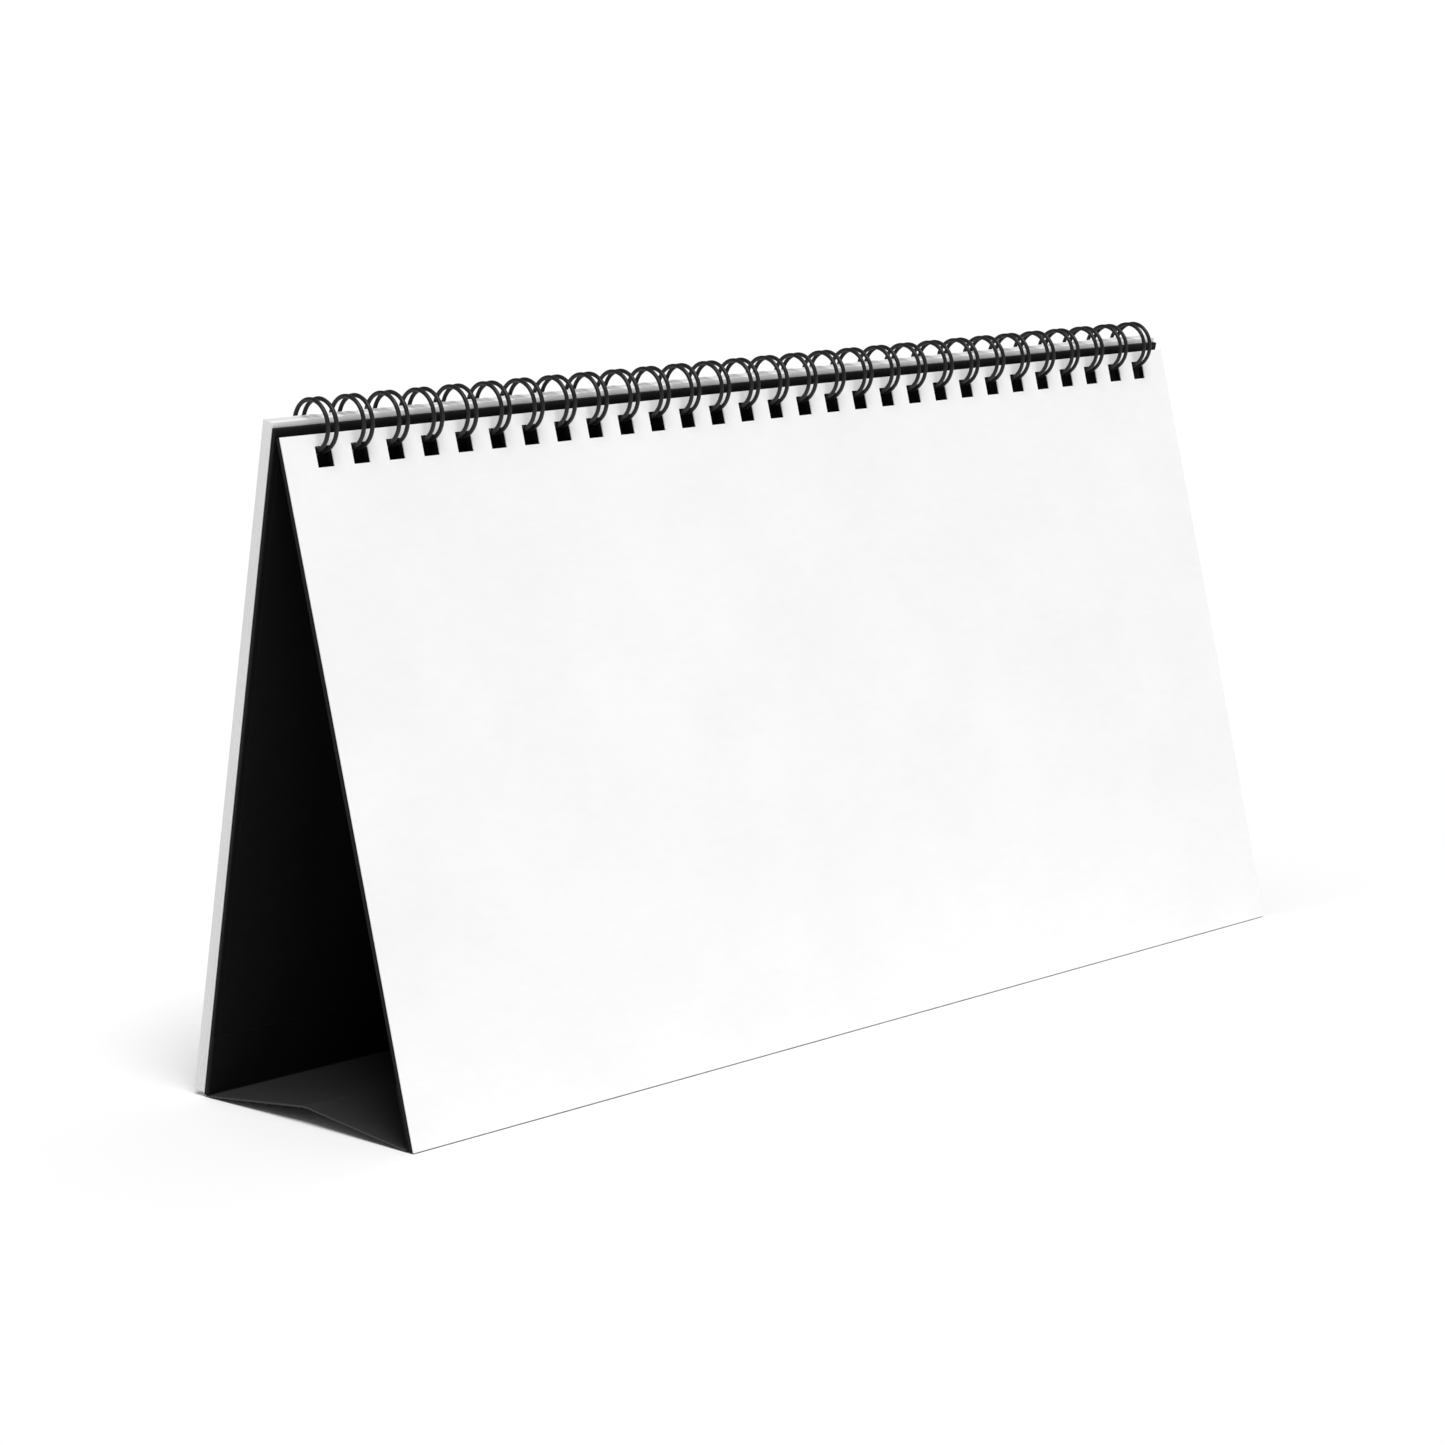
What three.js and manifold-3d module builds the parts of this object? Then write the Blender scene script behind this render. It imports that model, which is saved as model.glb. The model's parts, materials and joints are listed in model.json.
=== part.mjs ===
// Flip desk calendar. Two paper-covered boards lean together as an A-frame stand. A twin-loop
// wire joins them along the ridge and a creased card web joins them along the floor. One leaf
// hangs in front and the leaves already turned hang behind.
// Millimetres. +X runs along the binding, -Y is the reading side, +Z is up, and the origin is
// on the floor under the middle of the bounding box.
import * as THREE from "three";
import { mergeGeometries, mergeVertices } from "three/addons/utils/BufferGeometryUtils.js";
import Module from "manifold-3d";

// Binding: standard 3:1 twin-loop wire.
const PITCH = 25.4 / 3;
const LOOPS = 29;
const RING_RADIUS = 4.83; // axis of the binding to the middle of the wire
const WIRE_RADIUS = 0.45;
const TWIN_SPACING = 2.05; // between the two wires of one loop
const LOOP_STEPS = 12;
const CLOSURE_ANGLE = 13; // degrees between a loop's roots and its closed tip

// Punching, the same in every leaf and board.
const HOLE_WIDTH = 3.8;
const HOLE_HEIGHT = 3.96;
const HOLE_MARGIN = 2.24; // sheet left above each hole
const PUNCH_DEPTH = 4; // deeper than any sheet

// Stand.
const WIDTH = 256;
const RIDGE_HEIGHT = 130.57; // axis of the binding above the floor
const RIDGE_SETBACK = -1.66; // axis of the binding from the middle of the bounding box
const FRONT_LEAN = 12.95; // degrees from upright
const BACK_LEAN = 13.25;
const BOARD = 0.76;
const PAPER = 0.14;
const GLUE = 0.03;

// Outermost face of each panel, measured square to it from the axis of the binding, and the
// distance of its top edge below the axis, measured down the slope.
const FRONT_PANEL_FACE = 0.69;
const FRONT_PANEL_TOP = 1.72;
const BACK_PANEL_FACE = 0.82;
const BACK_PANEL_TOP = 0;
const PANEL_REACH = 140; // longer than either panel, before the floor trims it

// Leaves.
const LEAF = 0.2;
const LEAF_GAP = 0.033;
const BOARD_GAP = 0.05; // between a panel and the first leaf on it
const FRONT_LEAF_HEIGHT = 132.2;
const TURNED_LEAF_HEIGHT = 134.4;
const TURNED_LEAF_TOP = -0.9;
const TURNED_LEAVES = 12;

// Card web between the panels' feet: a glued tab on each panel and two creased flaps.
const CARD = 0.4;
const TAB_HEIGHT = 12;
const TAB_LIFT = 0.9; // foot of a tab above the floor
const WEB_LIFT = 0.35; // middle of the card above the floor at its outer folds
const CREASE_LIFT = 3.5; // middle of the card above the floor at the crease
const FOLD_INSET = 1.0; // from a panel's inner face to the web's fold
const FOLD_RELIEF = 0.5; // of each flap's edge from its fold

const wasm = await Module();
wasm.setup();

// The manifold-3d solid of a closed geometry.
function solidOf(geometry) {
  const bare = geometry.clone();
  bare.deleteAttribute("normal");
  bare.deleteAttribute("uv");
  const merged = mergeVertices(bare, 1e-4);
  return new wasm.Manifold(
    new wasm.Mesh({
      numProp: 3,
      vertProperties: merged.attributes.position.array,
      triVerts: new Uint32Array(merged.index.array),
    }),
  );
}

// The geometry of a manifold-3d solid.
function geometryOf(solid) {
  const mesh = solid.getMesh();
  const geometry = new THREE.BufferGeometry();
  geometry.setAttribute("position", new THREE.BufferAttribute(mesh.vertProperties, 3));
  geometry.setIndex(new THREE.BufferAttribute(mesh.triVerts, 1));
  geometry.computeVertexNormals();
  return geometry;
}

function piece(name, geometry, material) {
  const mesh = new THREE.Mesh(geometry, material);
  mesh.name = name;
  return mesh;
}

const coverBlack = () =>
  new THREE.MeshStandardMaterial({ color: 0x1c1c1d, roughness: 0.62, metalness: 0 });

const boardBlack = () =>
  new THREE.MeshStandardMaterial({ color: 0x19191a, roughness: 0.9, metalness: 0 });

const cardBlack = () =>
  new THREE.MeshStandardMaterial({ color: 0x222223, roughness: 0.7, metalness: 0 });

const leafWhite = () =>
  new THREE.MeshStandardMaterial({ color: 0xf7f7f7, roughness: 0.8, metalness: 0 });

const wireBlack = () =>
  new THREE.MeshStandardMaterial({ color: 0x262627, roughness: 0.35, metalness: 0.1 });

// A frame at the axis of the binding whose -Z runs down a panel's slope.
function slope(degrees) {
  const group = new THREE.Group();
  group.position.set(0, RIDGE_SETBACK, RIDGE_HEIGHT);
  group.rotation.x = THREE.MathUtils.degToRad(degrees);
  group.updateMatrixWorld(true);
  return group;
}

// A sheet in a slope's frame: its top edge below the axis, its height, and its two faces in Y.
// The row of square holes is punched a fixed margin below the top edge.
function punchedSheet(top, height, near, far) {
  const middle = (near + far) / 2;
  const sheet = new THREE.BoxGeometry(WIDTH, far - near, height);
  sheet.translate(0, middle, -top - height / 2);
  const punches = [];
  for (let i = 0; i < LOOPS; i++) {
    const punch = new THREE.BoxGeometry(HOLE_WIDTH, PUNCH_DEPTH, HOLE_HEIGHT);
    punches.push(punch.translate(loopX(i), middle, -top - HOLE_MARGIN - HOLE_HEIGHT / 2));
  }
  return geometryOf(solidOf(sheet).subtract(solidOf(mergeGeometries(punches))));
}

function loopX(i) {
  return (i - (LOOPS - 1) / 2) * PITCH;
}

// Cuts whatever a slope's piece would push through the floor, so that it stands flat.
function standOnFloor(geometry, group) {
  const below = new THREE.BoxGeometry(2 * WIDTH, WIDTH, WIDTH).translate(0, 0, -WIDTH / 2);
  below.applyMatrix4(group.matrixWorld.clone().invert());
  return geometryOf(solidOf(geometry).subtract(solidOf(below)));
}

// One covered board: cover paper outside, board, and lining paper inside. outward is -1 where
// the outside faces -Y and 1 where it faces +Y.
function addPanel(group, name, outward, face, top) {
  const layers = [
    ["cover_paper", PAPER, coverBlack()],
    ["board", BOARD, boardBlack()],
    ["lining_paper", PAPER, coverBlack()],
  ];
  let outside = face;
  for (const [layer, thickness, material] of layers) {
    const faces = [outward * outside, outward * (outside - thickness)].sort((a, b) => a - b);
    const sheet = punchedSheet(top, PANEL_REACH, ...faces);
    group.add(piece(`${name}_${layer}`, standOnFloor(sheet, group), material));
    outside -= thickness + GLUE;
  }
  return outside;
}

// A flat strip across the whole width, from its outline in the Y-Z plane.
function strip(outline) {
  const section = new THREE.Shape(outline.map(([y, z]) => new THREE.Vector2(y, z)));
  const acrossWidth = new THREE.Matrix4().makeBasis(
    new THREE.Vector3(0, 1, 0),
    new THREE.Vector3(0, 0, 1),
    new THREE.Vector3(1, 0, 0),
  );
  return new THREE.ExtrudeGeometry(section, { depth: WIDTH, bevelEnabled: false })
    .applyMatrix4(acrossWidth)
    .translate(-WIDTH / 2, 0, 0);
}

// The tab of the web that is glued to a panel's inner face, just above its foot.
function addTab(group, name, outward, inside) {
  const lean = Math.abs(group.rotation.x);
  const foot = (RIDGE_HEIGHT - TAB_LIFT) / Math.cos(lean);
  const near = outward * inside;
  const far = outward * (inside - CARD);
  const tab = strip([
    [Math.min(near, far), -foot],
    [Math.max(near, far), -foot],
    [Math.max(near, far), TAB_HEIGHT - foot],
    [Math.min(near, far), TAB_HEIGHT - foot],
  ]);
  group.add(piece(name, tab, cardBlack()));
}

// Where a panel's inner face meets the floor.
function footOf(degrees, outward, inside) {
  const lean = THREE.MathUtils.degToRad(degrees);
  return RIDGE_SETBACK + outward * (RIDGE_HEIGHT * Math.tan(lean) + inside / Math.cos(lean));
}

// One flap of the web, from its outer fold to the crease.
function addFlap(parent, name, fold, crease) {
  const along = new THREE.Vector2().subVectors(crease, fold);
  const length = along.length();
  along.normalize();
  const across = new THREE.Vector2(-along.y, along.x).multiplyScalar(CARD / 2);
  const at = (distance, side) => {
    const p = fold.clone().addScaledVector(along, distance).addScaledVector(across, side);
    return [p.x, p.y];
  };
  const corners = [
    at(FOLD_RELIEF, -1),
    at(FOLD_RELIEF, 1),
    at(length - FOLD_RELIEF, 1),
    at(length - FOLD_RELIEF, -1),
  ];
  parent.add(piece(name, strip(fold.x < crease.x ? corners.reverse() : corners), cardBlack()));
}

// The route of the binding wire, corner by corner.
class WireRoute extends THREE.Curve {
  constructor(corners) {
    super();
    this.corners = corners;
  }
  getPoint(t, target = new THREE.Vector3()) {
    const along = t * (this.corners.length - 1);
    const i = Math.min(Math.floor(along), this.corners.length - 2);
    return target.lerpVectors(this.corners[i], this.corners[i + 1], along - i);
  }
  getUtoTmapping(u) {
    return u;
  }
}

// One continuous wire: from the root line under the ridge, round the front and over the top
// of each loop to its tip, back beside itself, and along the root line to the next loop.
function wireBinding() {
  const corners = [];
  const turn = THREE.MathUtils.degToRad(360 - CLOSURE_ANGLE);
  const corner = (x, angle) =>
    corners.push(
      new THREE.Vector3(x, -RING_RADIUS * Math.sin(angle), -RING_RADIUS * Math.cos(angle)),
    );
  for (let i = 0; i < LOOPS; i++) {
    for (let k = 0; k <= LOOP_STEPS; k++) {
      corner(loopX(i) - TWIN_SPACING / 2, (turn * k) / LOOP_STEPS);
    }
    for (let k = LOOP_STEPS; k >= 0; k--) {
      corner(loopX(i) + TWIN_SPACING / 2, (turn * k) / LOOP_STEPS);
    }
  }
  const section = new THREE.Shape();
  section.moveTo(WIRE_RADIUS, 0);
  section.lineTo(0, WIRE_RADIUS);
  section.lineTo(-WIRE_RADIUS, 0);
  section.lineTo(0, -WIRE_RADIUS);
  section.closePath();
  return new THREE.ExtrudeGeometry(section, {
    steps: corners.length - 1,
    extrudePath: new WireRoute(corners),
    bevelEnabled: false,
  });
}

const calendar = new THREE.Group();
const front = slope(-FRONT_LEAN);
const back = slope(BACK_LEAN);
calendar.add(front, back);

const frontInside = addPanel(front, "front_panel", -1, FRONT_PANEL_FACE, FRONT_PANEL_TOP);
const backInside = addPanel(back, "back_panel", 1, BACK_PANEL_FACE, BACK_PANEL_TOP);
addTab(front, "base_tab_front", -1, frontInside);
addTab(back, "base_tab_rear", 1, backInside);

const frontFold = new THREE.Vector2(footOf(FRONT_LEAN, -1, frontInside) + FOLD_INSET, WEB_LIFT);
const rearFold = new THREE.Vector2(footOf(BACK_LEAN, 1, backInside) - FOLD_INSET, WEB_LIFT);
const crease = new THREE.Vector2((frontFold.x + rearFold.x) / 2, CREASE_LIFT);
addFlap(calendar, "base_flap_front", frontFold, crease);
addFlap(calendar, "base_flap_rear", rearFold, crease);

const wire = piece("wire_binding", wireBinding(), wireBlack());
wire.position.set(0, RIDGE_SETBACK, RIDGE_HEIGHT);
calendar.add(wire);

const frontLeafFace = FRONT_PANEL_FACE + BOARD_GAP + LEAF;
front.add(
  piece(
    "front_leaf",
    punchedSheet(FRONT_PANEL_TOP, FRONT_LEAF_HEIGHT, -frontLeafFace, LEAF - frontLeafFace),
    leafWhite(),
  ),
);
for (let i = 0; i < TURNED_LEAVES; i++) {
  const near = BACK_PANEL_FACE + BOARD_GAP + i * (LEAF + LEAF_GAP);
  const name = `turned_leaf_${String(i + 1).padStart(2, "0")}`;
  const sheet = punchedSheet(TURNED_LEAF_TOP, TURNED_LEAF_HEIGHT, near, near + LEAF);
  back.add(piece(name, sheet, leafWhite()));
}

export default calendar;
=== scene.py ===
import json
import math
import random

import bmesh
import bpy
from mathutils import Matrix, Vector


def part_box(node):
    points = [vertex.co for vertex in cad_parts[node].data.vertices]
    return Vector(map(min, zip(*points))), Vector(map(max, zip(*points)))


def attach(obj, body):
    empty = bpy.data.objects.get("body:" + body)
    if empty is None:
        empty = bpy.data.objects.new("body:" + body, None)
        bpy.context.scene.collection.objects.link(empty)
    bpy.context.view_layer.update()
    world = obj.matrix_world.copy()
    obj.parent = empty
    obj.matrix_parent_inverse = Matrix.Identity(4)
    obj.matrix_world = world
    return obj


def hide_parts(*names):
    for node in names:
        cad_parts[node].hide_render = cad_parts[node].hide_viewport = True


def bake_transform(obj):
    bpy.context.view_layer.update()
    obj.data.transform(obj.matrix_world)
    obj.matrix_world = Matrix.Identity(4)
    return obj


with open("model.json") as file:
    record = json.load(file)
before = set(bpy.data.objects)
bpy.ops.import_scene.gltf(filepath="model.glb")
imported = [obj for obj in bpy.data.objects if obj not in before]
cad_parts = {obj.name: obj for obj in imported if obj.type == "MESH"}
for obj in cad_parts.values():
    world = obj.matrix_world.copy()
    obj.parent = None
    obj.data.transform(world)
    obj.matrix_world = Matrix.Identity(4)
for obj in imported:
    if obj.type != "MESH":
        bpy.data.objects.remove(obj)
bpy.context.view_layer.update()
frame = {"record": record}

# ---------------------------------------------------------------- front and back panels
# Each panel is bookbinding board wrapped in black cover paper, which turns in over the
# edges, with a smaller black lining glued over the turn-ins. Both are punched together.
mm = 0.001

# A slope is a frame on the axis of the binding, where the leaves turn and both slopes meet:
# X along the binding, Z up the sheet, Y through it.
front_lean = math.radians(12.95)
back_lean = math.radians(13.25)
joints = {joint["name"]: joint for joint in frame["record"]["behaviour"]["joints"]}
ridge = Vector(joints["front_leaf_turn"]["pos_m"])
front_slope = Matrix.Translation(ridge) @ Matrix.Rotation(-front_lean, 4, "X")
back_slope = Matrix.Translation(ridge) @ Matrix.Rotation(back_lean, 4, "X")
left_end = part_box("front_leaf")[0].x
right_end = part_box("front_leaf")[1].x


def paper_fibres():
    """The surface that paper and card share: matted fibres a few tenths of a millimetre
    long, over a slow cloudiness from the mill."""
    group = bpy.data.node_groups.new("paper_fibres", "ShaderNodeTree")
    sockets = group.interface
    for name, kind in (("Light", "NodeSocketColor"), ("Dark", "NodeSocketColor"),
                       ("Fibre Scale", "NodeSocketFloat"), ("Rough Low", "NodeSocketFloat"),
                       ("Rough High", "NodeSocketFloat")):
        sockets.new_socket(name=name, in_out="INPUT", socket_type=kind)
    for name, kind in (("Color", "NodeSocketColor"), ("Height", "NodeSocketFloat"),
                       ("Roughness", "NodeSocketFloat")):
        sockets.new_socket(name=name, in_out="OUTPUT", socket_type=kind)
    nodes, links = group.nodes, group.links
    given = nodes.new("NodeGroupInput")
    out = nodes.new("NodeGroupOutput")
    place = nodes.new("ShaderNodeTexCoord")
    lengthen = nodes.new("ShaderNodeMapping")
    lengthen.inputs["Scale"].default_value = (0.35, 1.0, 1.0)
    links.new(place.outputs["Object"], lengthen.inputs["Vector"])
    fibres = nodes.new("ShaderNodeTexNoise")
    fibres.inputs["Detail"].default_value = 6.0
    fibres.inputs["Roughness"].default_value = 0.65
    links.new(lengthen.outputs["Vector"], fibres.inputs["Vector"])
    links.new(given.outputs["Fibre Scale"], fibres.inputs["Scale"])
    cloud = nodes.new("ShaderNodeTexNoise")
    cloud.inputs["Scale"].default_value = 34.0
    cloud.inputs["Detail"].default_value = 3.0
    links.new(place.outputs["Object"], cloud.inputs["Vector"])
    both = nodes.new("ShaderNodeMath")
    both.operation = "MULTIPLY_ADD"
    both.inputs[1].default_value = 0.6
    links.new(fibres.outputs["Fac"], both.inputs[0])
    links.new(cloud.outputs["Fac"], both.inputs[2])
    spread = nodes.new("ShaderNodeMapRange")
    spread.inputs["From Min"].default_value = 0.45
    spread.inputs["From Max"].default_value = 1.15
    links.new(both.outputs["Value"], spread.inputs["Value"])
    tint = nodes.new("ShaderNodeMix")
    tint.data_type = "RGBA"
    links.new(spread.outputs["Result"], tint.inputs["Factor"])
    links.new(given.outputs["Dark"], tint.inputs["A"])
    links.new(given.outputs["Light"], tint.inputs["B"])
    links.new(tint.outputs["Result"], out.inputs["Color"])
    links.new(fibres.outputs["Fac"], out.inputs["Height"])
    gloss = nodes.new("ShaderNodeMapRange")
    links.new(fibres.outputs["Fac"], gloss.inputs["Value"])
    links.new(given.outputs["Rough Low"], gloss.inputs["To Min"])
    links.new(given.outputs["Rough High"], gloss.inputs["To Max"])
    links.new(gloss.outputs["Result"], out.inputs["Roughness"])
    return group


fibres_group = paper_fibres()


def paper_material(name, dark, light, fibre_scale, rough, relief, specular):
    material = bpy.data.materials.new(name)
    material.use_nodes = True
    nodes, links = material.node_tree.nodes, material.node_tree.links
    shader = nodes["Principled BSDF"]
    shader.inputs["Specular IOR Level"].default_value = specular
    effect = nodes.new("ShaderNodeGroup")
    effect.node_tree = fibres_group
    effect.inputs["Dark"].default_value = (*dark, 1.0)
    effect.inputs["Light"].default_value = (*light, 1.0)
    effect.inputs["Fibre Scale"].default_value = fibre_scale
    effect.inputs["Rough Low"].default_value = rough[0]
    effect.inputs["Rough High"].default_value = rough[1]
    bump = nodes.new("ShaderNodeBump")
    bump.inputs["Strength"].default_value = relief
    bump.inputs["Distance"].default_value = 0.05 * mm
    links.new(effect.outputs["Color"], shader.inputs["Base Color"])
    links.new(effect.outputs["Roughness"], shader.inputs["Roughness"])
    links.new(effect.outputs["Height"], bump.inputs["Height"])
    links.new(bump.outputs["Normal"], shader.inputs["Normal"])
    return material


loops = 29
pitch = 25.4 / 3 * mm
hole_width = 3.8 * mm
hole_height = 3.96 * mm
hole_margin = 2.24 * mm


def loop_x(i):
    return (i - (loops - 1) / 2) * pitch


def punched_sheet(name, slope, top, bottom, near, far, inset=0.0, rows=14, shape=None):
    """A closed sheet with a row of square holes. near and far are its faces in the slope's Y;
    shape(across, down) moves a point through the sheet, both from 0 to 1."""
    left, right = left_end + inset, right_end - inset
    columns = [left]
    for i in range(loops):
        columns += [loop_x(i) - hole_width / 2, loop_x(i) + hole_width / 2]
    columns.append(right)
    holes_top, holes_bottom = top + hole_margin - inset, top + hole_margin - inset + hole_height
    levels = [top, holes_top, holes_bottom]
    levels += [holes_bottom + (bottom - holes_bottom) * k / rows for k in range(1, rows + 1)]
    bm = bmesh.new()
    grid = {}
    for side, through in enumerate((near, far)):
        for a, x in enumerate(columns):
            for b, down in enumerate(levels):
                across = (x - left) / (right - left)
                lean = shape(across, (down - top) / (bottom - top)) if shape else 0.0
                place = slope @ Vector((x, through + lean, -down))
                grid[side, a, b] = bm.verts.new(place)
    kept = {(a, b) for a in range(len(columns) - 1) for b in range(len(levels) - 1)}
    kept -= {(a, 1) for a in range(1, len(columns) - 1, 2)}
    for a, b in kept:
        corners = [(a, b), (a + 1, b), (a + 1, b + 1), (a, b + 1)]
        bm.faces.new([grid[0, *c] for c in reversed(corners)])
        bm.faces.new([grid[1, *c] for c in corners])
        beside = [(a, b - 1), (a + 1, b), (a, b + 1), (a - 1, b)]
        for k, neighbour in enumerate(beside):
            if neighbour not in kept:
                p, q = corners[k], corners[(k + 1) % 4]
                bm.faces.new([grid[0, *p], grid[0, *q], grid[1, *q], grid[1, *p]])
    bmesh.ops.recalc_face_normals(bm, faces=bm.faces)
    mesh = bpy.data.meshes.new(name)
    bm.to_mesh(mesh)
    bm.free()
    sheet = bpy.data.objects.new(name, mesh)
    bpy.context.collection.objects.link(sheet)
    return sheet


def round_edges(piece, width, segments=3):
    bevel = piece.modifiers.new("rounded_edges", "BEVEL")
    bevel.width = width
    bevel.segments = segments
    bevel.limit_method = "ANGLE"
    bevel.angle_limit = math.radians(50)


cover_paper = paper_material("cover_paper_black", (0.0034, 0.0034, 0.0036),
                             (0.0068, 0.0068, 0.0071), 900.0, (0.55, 0.75), 0.35, 0.16)
lining_paper = paper_material("lining_paper_black", (0.0034, 0.0034, 0.0036),
                              (0.0066, 0.0066, 0.0069), 700.0, (0.6, 0.82), 0.4, 0.16)
panel_wrap = 0.96 * mm
lining_thickness = 0.14 * mm
lining_inset = 1.2 * mm
panel_clearance = 0.14 * mm
foot_lean = math.radians(13.1)  # between the two slopes, so both feet stop at one height
wrap_corner = 0.16 * mm
lining_corner = 0.04 * mm
for body, slope, outward, face, top in (("front_panel", front_slope, -1, 0.69 * mm, 1.72 * mm),
                                        ("back_panel", back_slope, 1, 0.82 * mm, 0.0)):
    foot = (ridge.z - panel_clearance) / math.cos(foot_lean) - 0.05 * mm
    outer, inner = outward * face, outward * (face - panel_wrap)
    wrap = punched_sheet(f"{body}_wrapped_board", slope, top, foot,
                         min(outer, inner), max(outer, inner))
    round_edges(wrap, wrap_corner)
    wrap.data.materials.append(cover_paper)
    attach(wrap, body)
    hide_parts(f"{body}_cover_paper", f"{body}_board")
    outer, inner = inner, inner - outward * lining_thickness
    lining = punched_sheet(f"{body}_lining", slope, top + lining_inset, foot - lining_inset,
                           min(outer, inner), max(outer, inner), inset=lining_inset)
    round_edges(lining, lining_corner, 2)
    lining.data.materials.append(lining_paper)
    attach(lining, body)
    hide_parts(f"{body}_lining_paper")

# ---------------------------------------------------------------- creased card web
# One strip of black card ties the feet of the two panels together. It is creased across the
# middle so that it lifts and folds away inside, and a tab at each edge is glued to a panel.
web_card = paper_material("web_card_black", (0.024, 0.024, 0.0245),
                          (0.036, 0.036, 0.0366), 800.0, (0.42, 0.6), 0.3, 0.3)
card = 0.4 * mm
tab_thickness = 0.16 * mm  # skived thin where it is glued
tab_top = 12.9 * mm
tab_bottom = 1.6 * mm
heel_offset = 0.25 * mm
heel_radius = 0.45 * mm
crease_radius = 0.9 * mm
front_fold = Vector(joints["base_front_fold"]["pos_m"])
crease = Vector(joints["base_crease"]["pos_m"])
rear_fold = Vector((0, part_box("base_flap_rear")[1].y + 0.5 * mm, front_fold.z))


def card_strip(name, route, thickness, columns=24):
    """A closed strip across the whole width, along a route of (y, z) points."""
    bm = bmesh.new()
    rings = []
    for k in range(columns + 1):
        x = left_end + (right_end - left_end) * k / columns
        ring = []
        for side in (1, -1):
            for i in range(len(route)):
                before, after = route[max(i - 1, 0)], route[min(i + 1, len(route) - 1)]
                along = Vector((after[0] - before[0], after[1] - before[1])).normalized()
                off = Vector((-along.y, along.x)) * side * thickness / 2
                ring.append(bm.verts.new((x, route[i][0] + off.x, route[i][1] + off.y)))
        count = len(route)
        rings.append(ring[:count] + ring[:count - 1:-1])
    size = len(rings[0])
    for one, two in zip(rings, rings[1:]):
        for i in range(size):
            j = (i + 1) % size
            bm.faces.new([one[i], one[j], two[j], two[i]])
    for ring in (rings[0], rings[-1]):
        half = size // 2
        for i in range(half - 1):
            bm.faces.new([ring[i], ring[i + 1], ring[size - 2 - i], ring[size - 1 - i]])
    bmesh.ops.recalc_face_normals(bm, faces=bm.faces)
    mesh = bpy.data.meshes.new(name)
    bm.to_mesh(mesh)
    bm.free()
    strip = bpy.data.objects.new(name, mesh)
    bpy.context.collection.objects.link(strip)
    return strip


def bent(corner, start, end, radius, steps=6):
    """The points of a bend of a given radius that rounds off the corner between two runs."""
    towards, away = (start - corner).normalized(), (end - corner).normalized()
    first, last = corner + towards * radius, corner + away * radius
    points = []
    for k in range(steps + 1):
        t = k / steps
        points.append(first * (1 - t) ** 2 + corner * 2 * t * (1 - t) + last * t ** 2)
    return points


def run(start, end, steps):
    return [start.lerp(end, k / steps) for k in range(steps)]


foot_front = Vector((front_fold.y - 0.3 * mm, front_fold.z))
foot_rear = Vector((rear_fold.y + 0.3 * mm, rear_fold.z))
middle = Vector((crease.y, crease.z))
crease_bend = bent(middle, foot_front, foot_rear, crease_radius)
route = run(foot_front, crease_bend[0], 16) + crease_bend[:-1]
route += run(crease_bend[-1], foot_rear, 16) + [foot_rear]
web = card_strip("base_web", route, card)
round_edges(web, 0.06 * mm, 2)
web.data.materials.append(web_card)
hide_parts("base_flap_front", "base_flap_rear")
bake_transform(web)

for body, slope, outward, inside, fold, node in (
    ("front_panel", front_slope, -1, 0.44 * mm, foot_front, "base_tab_front"),
    ("back_panel", back_slope, 1, 0.31 * mm, foot_rear, "base_tab_rear"),
):
    depth = -outward * (inside + tab_thickness / 2)
    foot = ridge.z / math.cos(foot_lean)
    upper, lower = (slope @ Vector((0, depth, up - foot)) for up in (tab_top, tab_bottom))
    upper, lower = Vector((upper.y, upper.z)), Vector((lower.y, lower.z))
    heel = Vector((lower.x + outward * heel_offset, fold.y))
    tab_route = run(upper, lower, 8) + bent(heel, lower, fold, heel_radius)
    tab = card_strip(node + "_card", tab_route, tab_thickness)
    tab.data.materials.append(lining_paper)
    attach(tab, body)
    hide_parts(node)

# ---------------------------------------------------------------- binding wire
# One length of nylon-coated steel wire, bent into hairpin fingers and closed round the
# boards and leaves. Short roots under the ridge join each double loop to the next.
ring_radius = 4.83 * mm
wire_radius = 0.42 * mm
twin_spacing = 2.05 * mm
closure = math.radians(13)
root_bend = 0.75 * mm
tip_reach = 0.95 * mm


def wire_route():
    points = []
    full = 2 * math.pi - closure - tip_reach / ring_radius
    begin = root_bend / ring_radius

    def at(x, angle):
        points.append((x, ridge.y - ring_radius * math.sin(angle),
                       ridge.z - ring_radius * math.cos(angle)))

    for i in range(loops):
        left, right = loop_x(i) - twin_spacing / 2, loop_x(i) + twin_spacing / 2
        for k in range(5):
            t = k / 4 * math.pi / 2
            at(left - root_bend * (1 - math.sin(t)), begin * (1 - math.cos(t)))
        for k in range(1, 48):
            at(left, begin + (full - begin) * k / 48)
        for k in range(9):
            t = k / 8 * math.pi
            at(loop_x(i) - twin_spacing / 2 * math.cos(t),
               full + tip_reach / ring_radius * math.sin(t))
        for k in range(47, 0, -1):
            at(right, begin + (full - begin) * k / 48)
        for k in range(4, -1, -1):
            t = k / 4 * math.pi / 2
            at(right + root_bend * (1 - math.sin(t)), begin * (1 - math.cos(t)))
    return points


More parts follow.
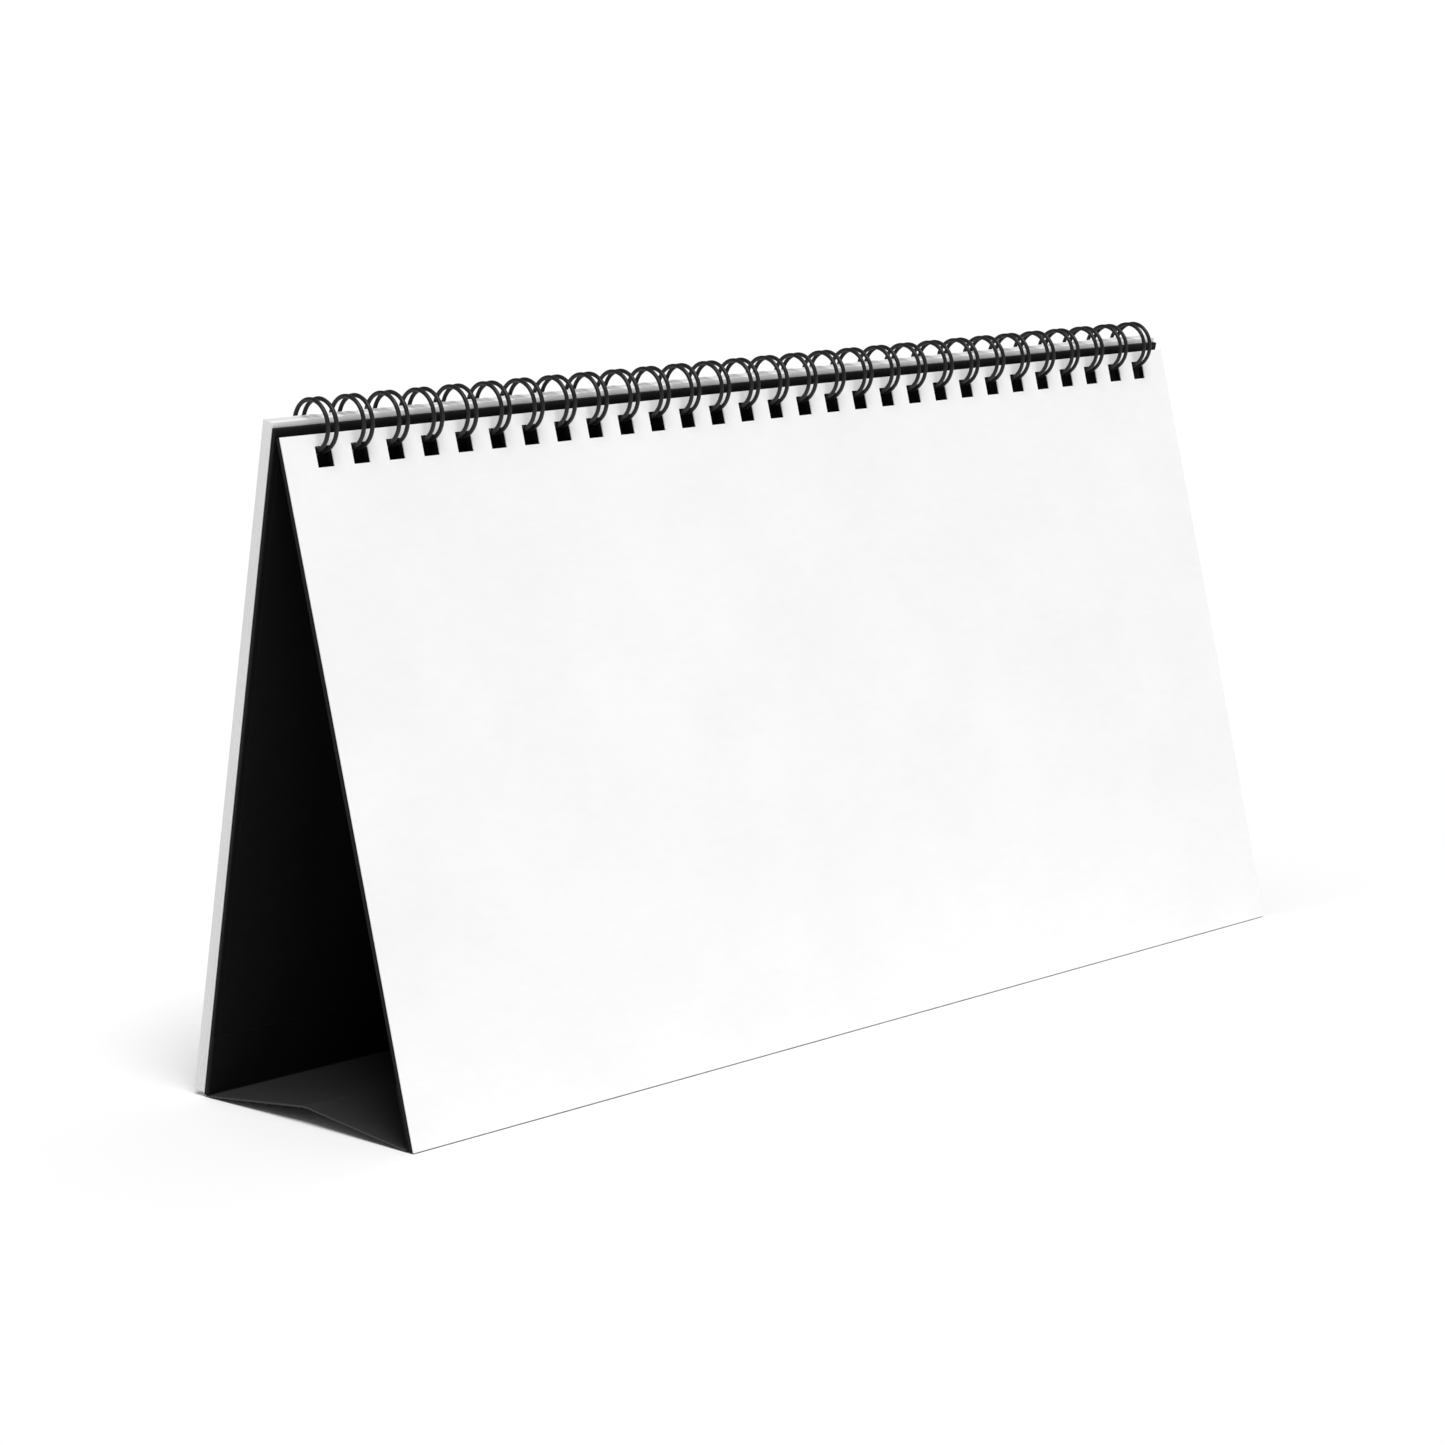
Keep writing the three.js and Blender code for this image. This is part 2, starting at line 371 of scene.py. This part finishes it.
def wire_material():
    material = bpy.data.materials.new("coated_wire_black")
    material.use_nodes = True
    nodes, links = material.node_tree.nodes, material.node_tree.links
    shader = nodes["Principled BSDF"]
    shader.inputs["Specular IOR Level"].default_value = 0.3
    shader.inputs["Coat Weight"].default_value = 0.06
    shader.inputs["Coat Roughness"].default_value = 0.3
    place = nodes.new("ShaderNodeTexCoord")
    coat = nodes.new("ShaderNodeTexNoise")
    coat.inputs["Scale"].default_value = 1400.0
    coat.inputs["Detail"].default_value = 4.0
    links.new(place.outputs["Object"], coat.inputs["Vector"])
    tint = nodes.new("ShaderNodeMapRange")
    tint.inputs["To Min"].default_value = 0.006
    tint.inputs["To Max"].default_value = 0.013
    links.new(coat.outputs["Fac"], tint.inputs["Value"])
    links.new(tint.outputs["Result"], shader.inputs["Base Color"])
    gloss = nodes.new("ShaderNodeMapRange")
    gloss.inputs["To Min"].default_value = 0.36
    gloss.inputs["To Max"].default_value = 0.56
    links.new(coat.outputs["Fac"], gloss.inputs["Value"])
    links.new(gloss.outputs["Result"], shader.inputs["Roughness"])
    bump = nodes.new("ShaderNodeBump")
    bump.inputs["Strength"].default_value = 0.25
    bump.inputs["Distance"].default_value = 0.02 * mm
    links.new(coat.outputs["Fac"], bump.inputs["Height"])
    links.new(bump.outputs["Normal"], shader.inputs["Normal"])
    return material


curve = bpy.data.curves.new("twin_loop_wire", "CURVE")
curve.dimensions = "3D"
curve.bevel_depth = wire_radius
curve.bevel_resolution = 3
curve.use_fill_caps = True
curve.twist_mode = "MINIMUM"
route = wire_route()
spline = curve.splines.new("POLY")
spline.points.add(len(route) - 1)
for point, place in zip(spline.points, route):
    point.co = (*place, 1.0)
wire = bpy.data.objects.new("twin_loop_wire", curve)
bpy.context.collection.objects.link(wire)
wire.data.materials.append(wire_material())
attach(wire, "front_panel")
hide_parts("wire_binding")

# ---------------------------------------------------------------- leaves
# Blank sheets of heavy uncoated paper, punched to hang on the wire. One leaf faces the
# reader. The leaves already turned lie behind, their edges not quite in line.
leaf_paper = paper_material("leaf_paper_white", (0.83, 0.83, 0.832), (0.885, 0.885, 0.883),
                            620.0, (0.62, 0.85), 0.12, 0.25)
cut_edge = paper_material("leaf_cut_edge", (0.84, 0.84, 0.84), (0.94, 0.94, 0.937), 2400.0,
                          (0.8, 0.95), 0.3, 0.1)


def finish_leaf(sheet, body, slope):
    """Smooth faces, and raw fibre on the cut edges, where the guillotine went through."""
    sheet.data.materials.append(leaf_paper)
    sheet.data.materials.append(cut_edge)
    through = slope.to_3x3() @ Vector((0, 1, 0))
    for face in sheet.data.polygons:
        if abs(face.normal.dot(through)) < 0.5:
            face.material_index = 1
    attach(sheet, body)
    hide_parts(body)


leaf = 0.2 * mm
leaf_gap = 0.033 * mm
front_face = 0.94 * mm
front_top = 1.72 * mm
front_height = 132.2 * mm
front_leaf = punched_sheet("front_leaf_sheet", front_slope, front_top, front_top + front_height,
                           -front_face, leaf - front_face, rows=24,
                           shape=lambda across, down: -0.22 * mm * math.sin(math.pi * down))
finish_leaf(front_leaf, "front_leaf", front_slope)

random.seed(7)  # leaves jogged by hand are never quite in line
turned_leaves = 12
turned_top = -0.9 * mm
turned_height = 134.4 * mm
first_face = 0.87 * mm
for i in range(turned_leaves):
    near = first_face + i * (leaf + leaf_gap)
    slip = random.uniform(-0.07, 0.07) * mm
    drop = random.uniform(-0.05, 0.05) * mm
    spread = 0.022 * mm * i
    sheet = punched_sheet(f"turned_leaf_{i + 1:02d}_sheet", back_slope, turned_top + drop,
                          turned_top + drop + turned_height, near, near + leaf, rows=24,
                          shape=lambda across, down: spread * down ** 2)
    sheet.data.transform(Matrix.Translation((slip, 0, 0)))
    finish_leaf(sheet, f"turned_leaf_{i + 1:02d}", back_slope)

# ---------------------------------------------------------------- floor, light and camera
# A pale floor under even fill light, with one broad soft key from above the reader's left
# shoulder. The fill is weaker than the white backdrop that the camera sees behind the floor.
floor_mesh = bpy.data.meshes.new("floor")
reach = 4.0
floor_mesh.from_pydata([(-reach, -reach, 0), (reach, -reach, 0), (reach, reach, 0),
                        (-reach, reach, 0)], [], [(0, 1, 2, 3)])
floor = bpy.data.objects.new("floor", floor_mesh)
bpy.context.collection.objects.link(floor)
floor_paint = bpy.data.materials.new("floor_white")
floor_paint.use_nodes = True
floor_shader = floor_paint.node_tree.nodes["Principled BSDF"]
floor_shader.inputs["Base Color"].default_value = (0.98, 0.98, 0.98, 1)
floor_shader.inputs["Roughness"].default_value = 1.0
floor_shader.inputs["Specular IOR Level"].default_value = 0.0
floor.data.materials.append(floor_paint)

world = bpy.data.worlds.new("studio")
bpy.context.scene.world = world
world.use_nodes = True
sky, sky_links = world.node_tree.nodes, world.node_tree.links
backdrop = sky["Background"]
backdrop.inputs["Color"].default_value = (1, 1, 1, 1)
backdrop.inputs["Strength"].default_value = 1.0
fill = sky.new("ShaderNodeBackground")
fill.inputs["Strength"].default_value = 0.3
seen = sky.new("ShaderNodeLightPath")
either = sky.new("ShaderNodeMixShader")
sky_links.new(seen.outputs["Is Camera Ray"], either.inputs["Fac"])
sky_links.new(fill.outputs["Background"], either.inputs[1])
sky_links.new(backdrop.outputs["Background"], either.inputs[2])
sky_links.new(either.outputs["Shader"], sky["World Output"].inputs["Surface"])
bpy.context.scene.view_settings.view_transform = "Standard"


def soft_sun(name, comes_from, strength, spread):
    light = bpy.data.lights.new(name, "SUN")
    light.energy = strength
    light.angle = math.radians(spread)
    lamp = bpy.data.objects.new(name, light)
    lamp.rotation_mode = "QUATERNION"
    lamp.rotation_quaternion = (-Vector(comes_from)).to_track_quat("-Z", "Y")
    bpy.context.collection.objects.link(lamp)


soft_sun("key_light", (-0.2, -0.42, 0.88), 2.82, 30)

camera_place = Vector((-546.9, -535.4, 186.8)) * mm
camera_turn = 0.7858
camera_drop = 0.1847
camera_roll = -0.0234
ahead = Vector((math.sin(camera_turn) * math.cos(camera_drop),
                math.cos(camera_turn) * math.cos(camera_drop), -math.sin(camera_drop)))
across = Vector((math.cos(camera_turn), -math.sin(camera_turn), 0))
upward = across.cross(ahead)
tilt = Matrix.Rotation(camera_roll, 3, -ahead)
level = Matrix((across, upward, -ahead)).transposed()
camera = bpy.data.objects.new("camera", bpy.data.cameras.new("camera"))
camera.matrix_world = Matrix.Translation(camera_place) @ (tilt @ level).to_4x4()
camera.data.lens = 92.4
camera.data.shift_x = -0.0072
camera.data.shift_y = 0.0509
bpy.context.collection.objects.link(camera)
bpy.context.scene.camera = camera

bpy.context.view_layer.update()
